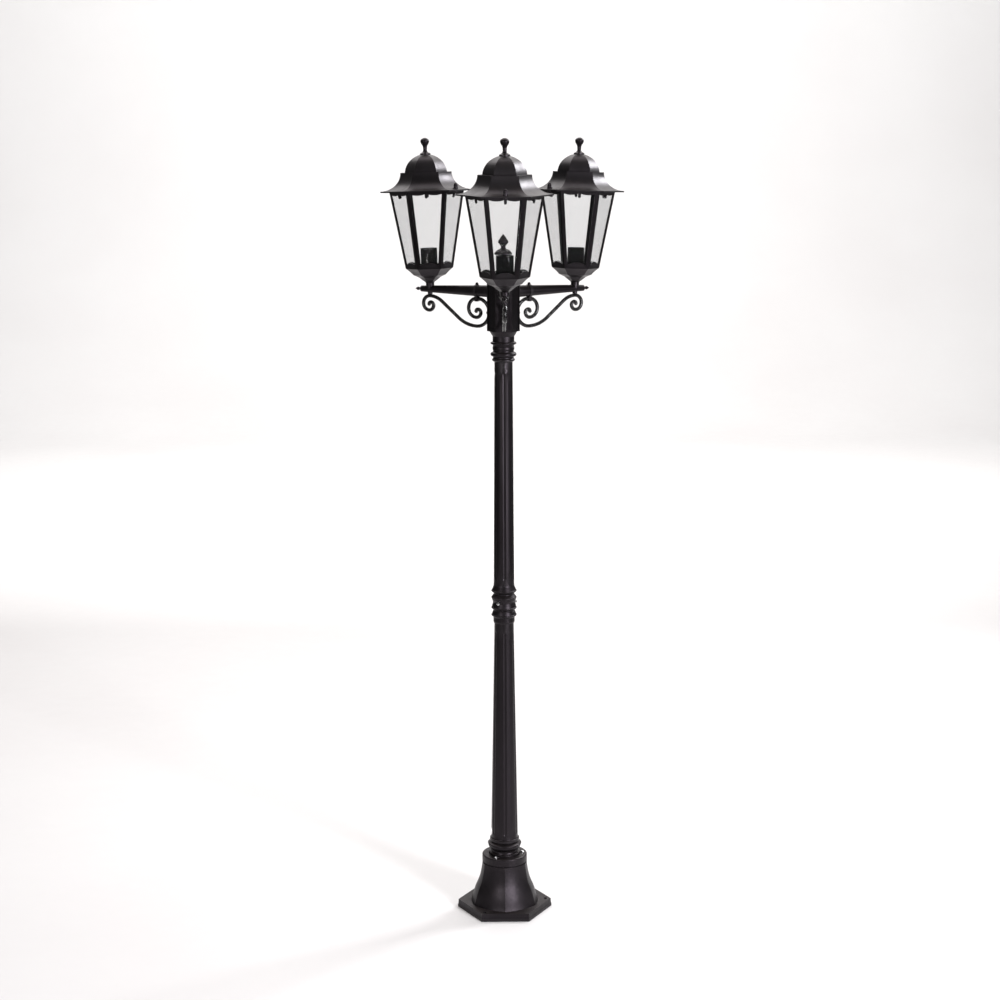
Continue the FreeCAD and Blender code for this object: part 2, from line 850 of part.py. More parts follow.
def hub_cap():
    top = cell("hub_top")
    wall = cell("cap_wall")
    brim = cell("cap_brim_height")
    way = cell("hub_way")
    body = turned("hub_cap", [
        (way - wall, top - 6),
        (way - cell("running_gap"), top - 6),
        (way - cell("running_gap"), top),
        (cell("cap_flange"), top),
        (cell("cap_flange"), top + 3),
        (cell("cap_column") + 3, top + 7, -2.5),
        (cell("cap_column"), cell("cap_column_foot")),
        (cell("cap_column"), brim - 3),
        (cell("cap_brim"), brim),
        (cell("cap_brim"), brim + 3, -2.2),
        (cell("acorn_radius") * 0.55, cell("cap_dome_top")),
        (4.0, cell("cap_dome_top")),
        (4.0, brim + 4),
        (way - wall, brim),
    ])
    return keep(body, "hub_cap")


def hub_finial():
    top = cell("cap_dome_top")
    neck = cell("acorn_radius") * 0.47
    body = turned("hub_finial", [
        (0, top - 8),
        (3.9, top - 8),
        (3.9, top),
        (neck + 1.4, top),
        (neck, top + 3),
        (neck, top + 6),
        (neck + 1.2, top + 9),
        (cell("acorn_radius"), cell("acorn_middle") - 1, -1.6),
        (cell("acorn_radius") * 0.72, cell("acorn_middle") + 9, -0.8),
        (1.2, cell("acorn_tip") - 1.5),
        (0, cell("acorn_tip")),
    ])
    return keep(body, "hub_finial")


top_collar()
hub_casting()
hub_cap()
hub_finial()


# ------------------------------------------------------------------ arms

def arm_end():
    return cell("head_reach") + cell("arm_overhang")


def arm_radius(reach):
    """Outer radius of the tapered arm at this distance from the post's axis."""
    root = cell("hub_corner") * COS30
    share = (reach - root) / (arm_end() - root)
    return cell("arm_root") + (cell("arm_tip") - cell("arm_root")) * share


def arm(side, azimuth):
    """The arm lies along X in its own frame, with its axis at height 0."""
    face = cell("hub_corner") * COS30
    end = arm_end()
    label = side + "_arm"
    body = turned(label, [
        (face - cell("hub_wall") - cell("arm_nut_height") - 1, cell("arm_bore")),
        (face - cell("hub_wall") - cell("arm_nut_height") - 1, cell("arm_spigot")),
        (face, cell("arm_spigot")),
        (face, cell("arm_root")),
        (end - 1.5, arm_radius(end - 1.5)),
        (end, cell("arm_tip") - 1.5),
        (end, cell("end_pin") + 0.05),
        (end - cell("end_wall"), cell("end_pin") + 0.05),
        (end - cell("end_wall"), cell("arm_bore")),
    ], "H_Axis")
    reach = cell("head_reach")
    rise = cell("head_seat") - cell("arm_axis")
    lean = FreeCAD.Rotation(Vector(0, 1, 0), mm("head_lean"))
    seat = FreeCAD.Placement(Vector(reach.value, 0, rise.value), lean)
    shape_in(body, "AdditiveCylinder", "seat_boss", {"Radius": cell("boss_radius"), "Height": rise},
             seat * at(0, 0, -rise.value))
    shape_in(body, "SubtractiveCylinder", "seat_face",
             {"Radius": cell("neck_radius") + 1.5, "Height": rise}, seat)
    drop = cell("arm_axis") - scroll_crest() - cell("bar_radius") - cell("running_gap")
    shape_in(body, "AdditiveCylinder", "scroll_lug", {"Radius": cell("lug_radius"), "Height": drop},
             at(reach, 0, -drop.value))
    bore = cell("arm_bore")
    shape_in(body, "SubtractiveCylinder", "lead_way",
             {"Radius": bore, "Height": end - cell("end_wall") - face},
             at(face, 0, 0, Vector(0, 1, 0), 90))
    shape_in(body, "SubtractiveCylinder", "nipple_hole",
             {"Radius": cell("nipple_radius") + cell("running_gap"), "Height": rise + 1},
             seat * at(0, 0, -rise.value))
    return keep(body, label, around(azimuth) * at(0, 0, cell("arm_axis")))


def scroll_crest():
    """Height of the bar's centre where it passes under the lantern."""
    return cell("arm_axis") - 20.1


def arm_finial(side, azimuth):
    end = arm_end()
    length = cell("spear_length")
    body = turned(side + "_arm_finial", [
        (end - cell("end_wall") + 2, 0),
        (end - cell("end_wall") + 2, cell("end_pin")),
        (end, cell("end_pin")),
        (end, cell("spear_radius") * 0.95),
        (end + 1.5, cell("spear_radius") * 0.95),
        (end + 3, cell("spear_radius") * 0.55),
        (end + 4.5, cell("spear_radius") * 0.6),
        (end + length * 0.45, cell("spear_radius"), 0.5),
        (end + length * 0.75, cell("spear_radius") * 0.55),
        (end + length, 0),
    ], "H_Axis")
    return keep(body, side + "_arm_finial", around(azimuth) * at(0, 0, cell("arm_axis")))


def arm_clamp(side, azimuth):
    """Ring round the arm with a block below that holds the scroll's bow."""
    place = cell("ring_place")
    width = cell("ring_width")
    bore = arm_radius(place - width / 2) + cell("running_gap")
    body = turned(side + "_arm_clamp", [
        (place - width / 2, bore),
        (place - width / 2, cell("ring_outer")),
        (place + width / 2, cell("ring_outer")),
        (place + width / 2, bore),
    ], "H_Axis")
    drop = cell("ring_drop")
    foot = cell("ring_block")
    shape_in(body, "AdditiveBox", "clamp_block",
             {"Length": width, "Width": foot, "Height": drop - bore - 0.5},
             at(place - width / 2, foot / -2, -drop.value))
    bow_top = mm("bow_middle") + mm("bow_radius") - mm("arm_axis")
    shape_in(body, "SubtractiveCylinder", "bar_hole",
             {"Radius": cell("bar_radius") + 0.45, "Height": width + 4},
             at(place - width / 2 - 2, 0, bow_top, Vector(0, 1, 0), 90))
    shape_in(body, "SubtractiveCylinder", "screw_hole", {"Radius": cell("ring_screw"), "Height": 12.0},
             at(place, 0, bore - 2))
    return keep(body, side + "_arm_clamp", around(azimuth) * at(0, 0, cell("arm_axis")))


def scroll(side, azimuth):
    """One bar: a curl under the arm, a bow against the hub, a sweep out to the lantern and a curl."""
    touch = mm("hub_corner") * COS30 + mm("bar_radius") + 0.05
    bow = mm("bow_radius")
    middle = mm("bow_middle")
    angle = mm("sweep_angle")
    inner = Pen(touch, middle, 90)
    inner.turn(bow, -90)
    curl = mm("inner_curl")
    for radius in (curl, curl - 2, curl / 2, curl / 3, mm("curl_end")):
        inner.turn(radius, -90)
    outer = Pen(touch, middle, -90)
    outer.turn(bow, 90)
    across = mm("head_reach") + 1 - outer.x
    up = scroll_crest().value - outer.z
    tangent = math.tan(math.radians(angle))
    sine = math.sin(math.radians(angle))
    cosine = math.cos(math.radians(angle))
    bends = (across * tangent - up) / (sine * tangent - (1 - cosine))
    outer.turn(bends - mm("crest_bend"), angle)
    outer.forward((across - bends * sine) / cosine)
    outer.turn(mm("crest_bend"), -angle)
    curl = mm("outer_curl")
    for radius in (curl, curl - 2, curl * 0.66, curl * 0.42, mm("curl_end")):
        outer.turn(radius, -90)
    edges = list(reversed(inner.edges)) + outer.edges
    bar = rod(edges, inner.place(), (0, 1), mm("bar_radius"))
    for pen in (inner, outer):
        bar = bar.fuse(Part.makeSphere(mm("bar_radius") + 0.3, Vector(pen.x, 0, pen.z)))
    hole = Part.makeCylinder(mm("scroll_screw") + 0.3, 24, Vector(touch - 12, 0, middle), Vector(1, 0, 0))
    return coded(side + "_scroll", bar.cut(hole), around(azimuth))


for side, azimuth in HEADS.items():
    arm(side, azimuth)
    arm_finial(side, azimuth)
    arm_clamp(side, azimuth)
    scroll(side, azimuth)

clamp_screws = []
scroll_screws = []
arm_nuts = []
for azimuth in HEADS.values():
    tip = arm_radius(cell("ring_place")) + cell("running_gap") * 2
    top = cell("ring_outer")
    place = around(azimuth) * at(cell("ring_place"), 0, cell("arm_axis") + top)
    clamp_screws.append(screw(place, cell("ring_screw"), top - tip, cell("ring_screw_head"),
                              cell("ring_screw_rise")))
    across = cell("bar_radius") * 2
    outside = mm("hub_corner") * COS30 + across.value + 0.2
    place = radial(azimuth, outside, mm("bow_middle"))
    shank = cell("scroll_screw")
    scroll_screws.append(screw(place, shank, across + 3.9, cell("scroll_screw_head"), shank * 1.4))
    inside = cell("hub_corner") * COS30 - cell("hub_wall") - cell("arm_nut_height")
    place = radial(azimuth, inside.value, mm("arm_axis"))
    block = solid("Prism", {"Circumradius": cell("arm_nut"), "Height": cell("arm_nut_height")}, place)
    hole = solid("Cylinder", {"Radius": cell("arm_spigot") + cell("running_gap") / 2, "Height": 12.0},
                 place * at(0, 0, -2))
    nut = doc.addObject("Part::Cut", "nut")
    nut.Base = block
    nut.Tool = hole
    arm_nuts.append(nut)
grouped("arm_clamp_screws", clamp_screws)
grouped("scroll_screws", scroll_screws)
grouped("arm_lock_nuts", arm_nuts)


# ------------------------------------------------------------------ terminal block in the hub

def terminal_block():
    floor = mm("hub_bottom") + mm("hub_floor")
    high = floor + mm("block_height")
    body = upright(mm("block_radius"), floor, high)
    body = body.cut(upright(mm("hub_way") - 5, floor - 1, floor + 0.6 * mm("block_height")))
    for azimuth in HEADS.values():
        turn = math.radians(azimuth)
        x = mm("lead_spread") * math.cos(turn)
        y = mm("lead_spread") * math.sin(turn)
        body = body.cut(upright(mm("lead_radius") + 0.1, high - 8, high + 1, x, y))
        turn = math.radians(azimuth + 60)
        x = mm("lead_spread") * 1.6 * math.cos(turn)
        y = mm("lead_spread") * 1.6 * math.sin(turn)
        body = body.cut(upright(2.0, high - 3, high + 1, x, y))
    return coded("terminal_block", body)


terminal_block()


# ------------------------------------------------------------------ lantern pieces

def cage_face(height):
    """Distance of the cage's outer faces from the lantern's axis at this height."""
    low = mm("cup_rim_height")
    share = (height - low) / (mm("cage_top") - low)
    return mm("cage_foot") + (mm("cage_head") - mm("cage_foot")) * share


def cage_solid(inset, low, high):
    """The cage's outline as a solid, its faces moved in by the inset."""
    slope = (mm("cage_head") - mm("cage_foot")) / (mm("cage_top") - mm("cup_rim_height"))
    shift = inset * math.hypot(1, slope)
    return face_stack([(height, cage_face(height) - shift) for height in (low, high)])


def cup(side, place):
    neck = mm("neck_radius")
    stem = mm("neck_height")
    knee = (mm("cup_knee"), mm("cup_knee_height"))
    fold = (mm("cup_fold"), mm("cup_fold_height"))
    rim = (mm("cup_rim"), mm("cup_rim_height"))
    start = (neck * 0.9, stem - 1)
    flare = 0.9
    outer = faceted([line((0, start[1]), start), arc(start, knee, -0.5), line(knee, fold),
                     arc(fold, rim, flare), line(rim, (0, rim[1]))], 2 * rim[0])
    body = outer.fuse(upright(neck, 0, stem + 3))
    body = body.fuse(Part.makeTorus(neck - 0.4, 1.6, Vector(0, 0, stem - 1.5)))
    wall = mm("cup_wall")
    floor = mm("cup_floor")
    inner = [(0, floor), (mm("nipple_nut") + 4, floor), (fold[0] - wall / 2, fold[1] + wall)]
    lip = (rim[0] - wall, rim[1])
    inside = faceted([line(inner[0], inner[1]), arc(inner[1], inner[2], 1.0), arc(inner[2], lip, flare),
                      line(lip, (lip[0], lip[1] + 2)),
                      line((lip[0], lip[1] + 2), (0, lip[1] + 2))], 2 * rim[0])
    body = body.cut(inside)
    body = body.cut(upright(mm("nipple_radius") + mm("running_gap"), -1, floor + 1))
    return coded(side + "_cup", body.removeSplitter(), place)


def window(low, high):
    """The opening in one face of the cage, as a block along X: a crested sill below, and a
    scalloped rail with a hanging drop above."""
    flange = mm("corner_flange")
    foot = cage_face(low) / COS30 / 2 - flange
    head = cage_face(high) / COS30 / 2 - flange
    crest = mm("sill_crest")
    dip = mm("scallop_depth")
    drop = mm("drop_width") / 2
    tip = high - mm("drop_length")

    def edge(start, finish, rise=0.0):
        a = Vector(0, start[0], start[1])
        b = Vector(0, finish[0], finish[1])
        if rise == 0.0:
            return Part.LineSegment(a, b).toShape()
        run = b - a
        left = Vector(0, -run.z, run.y)
        left.normalize()
        return Part.Arc(a, (a + b) * 0.5 + left * rise, b).toShape()

    edges = [
        edge((-foot, low), (0, low + crest), 2.2),
        edge((0, low + crest), (foot, low), 2.2),
        edge((foot, low), (head, high)),
        edge((head, high), (drop, high), dip),
        edge((drop, high), (drop, tip + drop)),
        edge((drop, tip + drop), (-drop, tip + drop), drop),
        edge((-drop, tip + drop), (-drop, high)),
        edge((-drop, high), (-head, high), dip),
        edge((-head, high), (-foot, low)),
    ]
    return Part.Face(Part.Wire(edges)).extrude(Vector(2 * mm("cage_head"), 0, 0))


def cage(side, place):
    """Six corner bars with a crested bottom ring and a scalloped top rail, in one casting."""
    low = mm("cup_rim_height")
    high = mm("cage_top")
    body = cage_solid(0, low, high).cut(cage_solid(mm("cage_wall"), low - 1, high + 1))
    outer = cage_face(low) - 1
    inner = cage_face(low) - mm("cage_shelf")
    top = low + mm("cage_shelf_height")
    shelf = face_stack([(low, outer), (top, outer)]).cut(face_stack([(low - 1, inner), (top + 1, inner)]))
    body = body.fuse(shelf)
    opening = window(low + mm("sill_height"), high - mm("rail_height"))
    for index in range(6):
        cutter = opening.copy()
        cutter.rotate(Vector(0, 0, 0), Vector(0, 0, 1), 60 * index)
        body = body.cut(cutter)
    reach = mm("stud_reach")
    ear_low = high - mm("stud_ear_height")
    for direction in (1, -1):
        ear = upright(mm("stud_ear"), ear_low, high, direction * reach)
        start = min(direction * reach, direction * (mm("cage_head") - 2))
        root = Part.makeBox(reach - mm("cage_head") + 2, 2 * mm("stud_ear"), mm("stud_ear_height"),
                            Vector(start, -mm("stud_ear"), ear_low))
        ear = ear.fuse(root).cut(upright(mm("stud_radius"), ear_low - 1, high + 1, direction * reach))
        body = body.fuse(ear)
    return coded(side + "_cage", body.removeSplitter(), place)


def glass(side, place):
    """Six panes behind the bars, standing on the cage's shelf."""
    low = mm("cup_rim_height") + mm("cage_shelf_height")
    high = mm("cage_top") - 4
    near = mm("cage_wall") + mm("glass_gap")
    ring = cage_solid(near, low, high).cut(cage_solid(near + mm("glass_thick"), low - 1, high + 1))
    gap = mm("glass_edge")
    panes = []
    for index in range(6):
        wedge_reach = 2 * mm("cage_head")
        half = wedge_reach * math.tan(math.radians(30))
        wedge = Part.makePolygon([Vector(gap, 0, low - 5), Vector(wedge_reach, half - gap, low - 5),
                                  Vector(wedge_reach, gap - half, low - 5), Vector(gap, 0, low - 5)])
        block = Part.Face(wedge).extrude(Vector(0, 0, high - low + 10))
        block.rotate(Vector(0, 0, 0), Vector(0, 0, 1), 60 * index)
        panes.append(ring.common(block))
    return coded(side + "_glass", Part.makeCompound([pane.Solids[0] for pane in panes]), place)


def lamp_holder(side, place):
    """Black holder on the threaded tube, open at the top for the lamp."""
    bore = cell("thread_bore") + cell("thread_shell") + 0.05
    body = turned(side + "_lampholder", [
        (cell("nipple_radius") + cell("running_gap"), cell("holder_cone")),
        (cell("holder_stem"), cell("holder_cone")),
        (cell("holder_stem"), cell("holder_cone") + 3),
        (cell("holder_radius"), cell("holder_foot")),
        (cell("holder_radius"), cell("holder_top")),
        (cell("holder_radius") - 2.5, cell("holder_top")),
        (cell("holder_radius") - 2.5, cell("holder_top") - 4),
        (bore, cell("holder_top") - 4),
        (bore, cell("holder_top") - 4 - cell("thread_depth") - 2),
        (cell("nipple_radius") + cell("running_gap"), cell("holder_top") - 4 - cell("thread_depth") - 2),
    ])
    return keep(body, side + "_lampholder", place)


def lamp_socket(side, place):
    """Brass threaded shell with its centre contact in the floor."""
    top = cell("holder_top") - 4
    low = top - cell("thread_depth")
    body = turned(side + "_lamp_socket", [
        (cell("nipple_radius") + 2, low),
        (cell("thread_bore") + cell("thread_shell"), low),
        (cell("thread_bore") + cell("thread_shell"), top),
        (cell("thread_bore"), top),
        (cell("thread_bore"), low + 1.5),
        (cell("nipple_radius") + 2, low + 1.5),
    ])
    return keep(body, side + "_lamp_socket", place)


def lead(side, azimuth):
    """Lamp lead from the holder down the threaded tube, along the arm and down to the block."""
    lean = math.radians(mm("head_lean"))
    drop = (mm("head_seat") - mm("arm_axis")) / math.cos(lean)
    corner = (mm("head_reach") - drop * math.sin(lean), mm("arm_axis"))
    rise = mm("nipple_high") + drop + 6
    start = (corner[0] + rise * math.sin(lean), corner[1] + rise * math.cos(lean))
    bend = mm("lead_bend")
    turn = 90 - mm("head_lean")
    setback = bend * math.tan(math.radians(turn / 2))
    pen = Pen(start[0], start[1], -90 - mm("head_lean"))
    pen.forward(rise - setback)
    pen.turn(bend, -turn)
    pen.forward(pen.x - mm("lead_spread") - bend)
    pen.turn(bend, 90)
    block_top = mm("hub_bottom") + mm("hub_floor") + mm("block_height")
    pen.forward(pen.z - block_top + 7)
    direction = (math.sin(lean), math.cos(lean))
    bar = rod(pen.edges, start, direction, mm("lead_radius"))
    return coded(side + "_lamp_lead", bar, around(azimuth))


def roof_outline(inset):
    """Outline of the roof, or of the hollow under it where inset is the wall."""
    eave = mm("eave")
    flare = mm("flare_radius")
    eave_top = mm("cage_top") + 3.5
    ledge = eave_top + flare
    neck = (eave - flare - inset, ledge - inset * 0.9)
    shoulder = (eave - flare - mm("ledge_width") - inset, ledge - inset * 0.9)
    crown = (mm("crown") - inset * 0.6, mm("crown_height") - inset)
    radius = flare + inset
    outer = eave if inset == 0 else eave - 3.0
    start = (outer, ledge - math.sqrt(radius ** 2 - (eave - outer) ** 2))
    run = math.hypot(neck[0] - start[0], neck[1] - start[1])
    rise = radius - math.sqrt(radius ** 2 - run ** 2 / 4)
    low = eave_top - mm("eave_rim") - (1 if inset else 0)
    return [
        line((0, low), (outer, low)),
        line((outer, low), start),
        arc(start, neck, rise),
        line(neck, shoulder),
        arc(shoulder, crown, -mm("dome_bulge")),
        line(crown, (0, crown[1])),
    ]


def roof(side, place):
    reach = 2 * mm("eave")
    body = faceted(roof_outline(0), reach).cut(faceted(roof_outline(mm("roof_wall")), reach))
    seat = mm("cage_top")
    head = mm("cage_head")
    inner = head - mm("cage_wall")
    rib = face_stack([(seat, head), (seat + 8, head)])
    rib = rib.cut(face_stack([(seat - 1, inner), (seat + 9, inner)]))
    outside = faceted(roof_outline(0), reach)
    body = body.fuse(rib.common(outside))
    stud = mm("stud_reach")
    for direction in (1, -1):
        boss = upright(mm("stud_boss"), mm("stud_boss_top") - 5.5, mm("stud_boss_top"), direction * stud)
        body = body.fuse(boss)
        body = body.cut(upright(mm("stud_radius") + 0.3, seat, mm("stud_boss_top") + 1, direction * stud))
    body = body.cut(upright(4.0, mm("crown_height") - 10, mm("crown_height") + 1))
    return coded(side + "_roof", body.removeSplitter(), place)


def roof_finial(side, place):
    seat = cell("crown_height")
    neck = cell("knob_neck")
    ball = cell("knob_radius")
    throat = seat + cell("knob_neck_rise")
    middle = seat + cell("knob_middle_rise")
    top = seat + cell("knob_top_rise")
    body = turned(side + "_roof_finial", [
        (0, seat - 6),
        (3.9, seat - 6),
        (3.9, seat),
        (cell("knob_foot"), seat),
        (cell("knob_foot"), seat + 3.5),
        (cell("knob_foot") - 4, seat + 6, 2.4),
        (neck, throat - 4),
        (neck, throat, 0.6),
        (ball * 0.7, middle - 9.5, -0.7),
        (ball, middle, -1.4),
        (ball * 0.62, middle + 7.6, -0.6),
        (1.0, top),
        (0, top),
    ])
    return keep(body, side + "_roof_finial", place)


def cap_nuts(side, place):
    """Two domed nuts that hold the roof down on its studs."""
    seat = cell("stud_boss_top")
    nuts = []
    for direction in (1, -1):
        spot = place * at(direction * mm("stud_reach"), 0, seat)
        skirt = solid("Prism", {"Circumradius": cell("nut_flats") / COS30, "Height": cell("nut_skirt")}, spot)
        dome_radius = cell("nut_flats") * 0.9
        barrel = solid("Cylinder", {"Radius": dome_radius, "Height": cell("nut_height") - dome_radius}, spot)
        dome = solid("Sphere", {"Radius": dome_radius},
                     spot * at(0, 0, cell("nut_height") - dome_radius))
        hole = solid("Cylinder", {"Radius": cell("stud_radius") + cell("running_gap"), "Height": 12.5},
                     spot * at(0, 0, -1))
        nut = doc.addObject("Part::Cut", "cap_nut")
        nut.Base = fused([skirt, barrel, dome])
        nut.Tool = hole
        nuts.append(nut)
    return grouped(side + "_cap_nuts", nuts)


studs = []
nipples = []
nipple_nuts = []
for side, azimuth in HEADS.items():
    place = lantern_place(azimuth)
    cup(side, place)
    cage(side, place)
    glass(side, place)
    lamp_holder(side, place)
    lamp_socket(side, place)
    lead(side, azimuth)
    roof(side, place)
    roof_finial(side, place)
    cap_nuts(side, place)
    for direction in (1, -1):
        low = cell("cage_top") - cell("stud_ear_height")
        spot = place * at(direction * mm("stud_reach"), 0, low)
        length = cell("stud_boss_top") + 10 - low
        studs.append(solid("Cylinder", {"Radius": cell("stud_radius"), "Height": length}, spot))
    length = cell("nipple_high") - cell("nipple_low")
    tube = solid("Cylinder", {"Radius": cell("nipple_radius"), "Height": length},
                 place * at(0, 0, cell("nipple_low")))
    hole = solid("Cylinder", {"Radius": cell("nipple_bore"), "Height": length + 2},
                 place * at(0, 0, cell("nipple_low") - 1))
    nipple = doc.addObject("Part::Cut", "nipple")
    nipple.Base = tube
    nipple.Tool = hole
    nipples.append(nipple)
    floor = cell("cup_floor")
    block = solid("Prism", {"Circumradius": cell("nipple_nut"), "Height": cell("nipple_nut_height")},
                  place * at(0, 0, floor))
    hole = solid("Cylinder", {"Radius": cell("nipple_radius") + cell("running_gap"), "Height": 12.0},
                 place * at(0, 0, floor - 2))
    nut = doc.addObject("Part::Cut", "nut")
    nut.Base = block
    nut.Tool = hole
    nipple_nuts.append(nut)
grouped("roof_studs", studs)
grouped("lantern_nipples", nipples)
grouped("lantern_lock_nuts", nipple_nuts)


# ------------------------------------------------------------------ check and write

doc.recompute()
faults = []
for item in doc.Objects:
    if "Invalid" in item.State or "Error" in item.State:
        faults.append("%s (%s) is %s" % (item.Name, item.Label, ", ".join(item.State)))
for node in nodes:
    if node.Shape.isNull() or not node.Shape.isValid():
        faults.append("%s has no valid shape" % node.Label)
    elif not node.Shape.Solids:
        faults.append("%s has no solid" % node.Label)
if faults:
    raise RuntimeError("; ".join(faults))

os.makedirs("parts", exist_ok=True)
for node in nodes:
    node.Shape.exportStep("parts/%s.step" % node.Label)
    print("%-22s solids %d  volume %.0f" % (node.Label, len(node.Shape.Solids), node.Shape.Volume))
print("%d sub-parts" % len(nodes))
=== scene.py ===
import math

import bpy
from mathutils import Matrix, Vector

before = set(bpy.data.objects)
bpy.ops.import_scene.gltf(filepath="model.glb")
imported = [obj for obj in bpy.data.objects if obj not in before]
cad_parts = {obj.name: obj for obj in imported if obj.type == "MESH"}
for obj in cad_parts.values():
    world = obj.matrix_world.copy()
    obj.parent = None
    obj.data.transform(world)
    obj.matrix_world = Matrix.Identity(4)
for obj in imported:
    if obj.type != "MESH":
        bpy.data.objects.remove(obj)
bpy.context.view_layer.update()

# Lengths are in metres, powers in watts and angles in degrees. Colours are linear red, green, blue.

HEADS = ("front", "left", "right")

# Sockets of the Mix node when it blends colours
MIX_FACTOR = 0
MIX_FIRST = 6
MIX_SECOND = 7
MIX_RESULT = 2


# ------------------------------------------------------------------ material helpers

def new_material(name):
    """A node material, its node tree and its main shader."""
    material = bpy.data.materials.new(name)
    material.use_nodes = True
    return material, material.node_tree, material.node_tree.nodes["Principled BSDF"]


def add(tree, kind, **settings):
    """Adds a node and sets what is named: a setting of the node, or else a socket."""
    node = tree.nodes.new(kind)
    for key, value in settings.items():
        if hasattr(node, key):
            setattr(node, key, value)
        else:
            node.inputs[key].default_value = value
    return node


def object_points(tree, stretch=(1, 1, 1)):
    """Points of the row frame in metres, stretched so that a pattern can run along one axis."""
    source = add(tree, "ShaderNodeTexCoord")
    mapping = add(tree, "ShaderNodeMapping", Scale=stretch)
    tree.links.new(source.outputs["Object"], mapping.inputs["Vector"])
    return mapping.outputs["Vector"]


def texture(tree, kind, points, **settings):
    """A texture node laid out on the given points."""
    node = add(tree, kind, **settings)
    tree.links.new(points, node.inputs["Vector"])
    return node


def noise(tree, points, scale, detail=3.0, roughness=0.5):
    node = texture(tree, "ShaderNodeTexNoise", points, Scale=scale, Detail=detail, Roughness=roughness)
    return node.outputs["Fac"]


def ramp(tree, value, stops):
    """Maps a value to the colours at the given places."""
    node = add(tree, "ShaderNodeValToRGB")
    elements = node.color_ramp.elements
    while len(elements) < len(stops):
        elements.new(0.5)
    for element, (place, colour) in zip(elements, stops):
        element.position = place
        element.color = (*colour, 1.0)
    tree.links.new(value, node.inputs["Fac"])
    return node.outputs["Color"]


def levels(tree, value, first, second):
    """Maps a value to greys. Each end is a place on the ramp and its level."""
    return ramp(tree, value, [(place, (level, level, level)) for place, level in (first, second)])


def blend_colours(tree, factor, first, second, mode="MIX"):
    """Blends two colours. Each of the three sources is a node's output or a plain value."""
    node = add(tree, "ShaderNodeMix", data_type="RGBA", blend_type=mode)
    for socket, source in ((MIX_FACTOR, factor), (MIX_FIRST, first), (MIX_SECOND, second)):
        if hasattr(source, "links"):
            tree.links.new(source, node.inputs[socket])
        elif socket == MIX_FACTOR:
            node.inputs[socket].default_value = source
        else:
            node.inputs[socket].default_value = (*source, 1.0)
    return node.outputs[MIX_RESULT]


def surface(tree, shader, colour, roughness):
    """Leads a colour and a roughness to the shader."""
    tree.links.new(colour, shader.inputs["Base Color"])
    tree.links.new(roughness, shader.inputs["Roughness"])


def bumps(tree, shader, layers):
    """Adds bump layers, each a value, its strength and its depth."""
    normal = None
    for value, strength, depth in layers:
        node = add(tree, "ShaderNodeBump", Strength=strength, Distance=depth)
        tree.links.new(value, node.inputs["Height"])
        if normal is not None:
            tree.links.new(normal, node.inputs["Normal"])
        normal = node.outputs["Normal"]
    tree.links.new(normal, shader.inputs["Normal"])


def worn_edges(tree, low=0.52, high=0.6):
    """White where the surface turns over an outer edge."""
    geometry = add(tree, "ShaderNodeNewGeometry")
    return levels(tree, geometry.outputs["Pointiness"], (low, 0.0), (high, 1.0))


def dust_and_top_light(tree, points, most):
    """Mask of dust and of painted light from above: grey up to a most on faces that look up, broken up by
    noise.
    """
    geometry = add(tree, "ShaderNodeNewGeometry")
    split = add(tree, "ShaderNodeSeparateXYZ")
    tree.links.new(geometry.outputs["Normal"], split.inputs["Vector"])
    upward = levels(tree, split.outputs["Z"], (0.35, 0.0), (0.95, 1.0))
    patches = noise(tree, points, scale=45.0, detail=5.0, roughness=0.6)
    patchy = levels(tree, patches, (0.35, 0.15), (0.75, 1.0))
    # Painted top light and dust: faces that look up, times noise patches.
    patch_mask = blend_colours(tree, 1.0, upward, patchy, "MULTIPLY")
    return levels(tree, patch_mask, (0.0, 0.0), (1.0, most))


# ------------------------------------------------------------------ materials

def powder_coat(name, peel_scale, peel_depth, wave_depth, roughness, stretch=(1, 1, 1)):
    """Satin black powder coat: fine orange peel over the waviness of the metal below."""
    deep_tone = (0.0021, 0.0018, 0.0020)
    middle_tone = (0.0034, 0.0029, 0.0031)
    faded_tone = (0.0056, 0.0047, 0.0048)
    rubbed_tone = (0.013, 0.012, 0.0125)
    # Warm brown of dust and of painted warm light from above, laid on faces that look up.
    dust_and_top_light_tone = (0.062, 0.047, 0.040)
    highlight_tint = (1.0, 0.87, 0.98, 1.0)
    material, tree, shader = new_material(name)
    points = object_points(tree, stretch)
    cloud = noise(tree, points, scale=9.0, detail=4.0, roughness=0.55)
    tone = ramp(tree, cloud, ((0.3, deep_tone), (0.55, middle_tone), (0.8, faded_tone)))
    tone = blend_colours(tree, worn_edges(tree), tone, rubbed_tone)
    # Faces that look up turn warm brown: dust, and painted warm light from above.
    tone = blend_colours(tree, dust_and_top_light(tree, points, most=0.22), tone, dust_and_top_light_tone)
    smudge = noise(tree, points, scale=26.0, detail=5.0, roughness=0.62)
    surface(tree, shader, tone, levels(tree, smudge, (0.25, roughness - 0.06), (0.75, roughness + 0.08)))
    shader.inputs["Specular IOR Level"].default_value = 0.24
    shader.inputs["Specular Tint"].default_value = highlight_tint
    peel = noise(tree, points, peel_scale, detail=2.0)
    waves = noise(tree, points, scale=60.0)
    bumps(tree, shader, ((waves, 0.35, wave_depth), (peel, 0.4, peel_depth)))
    return material


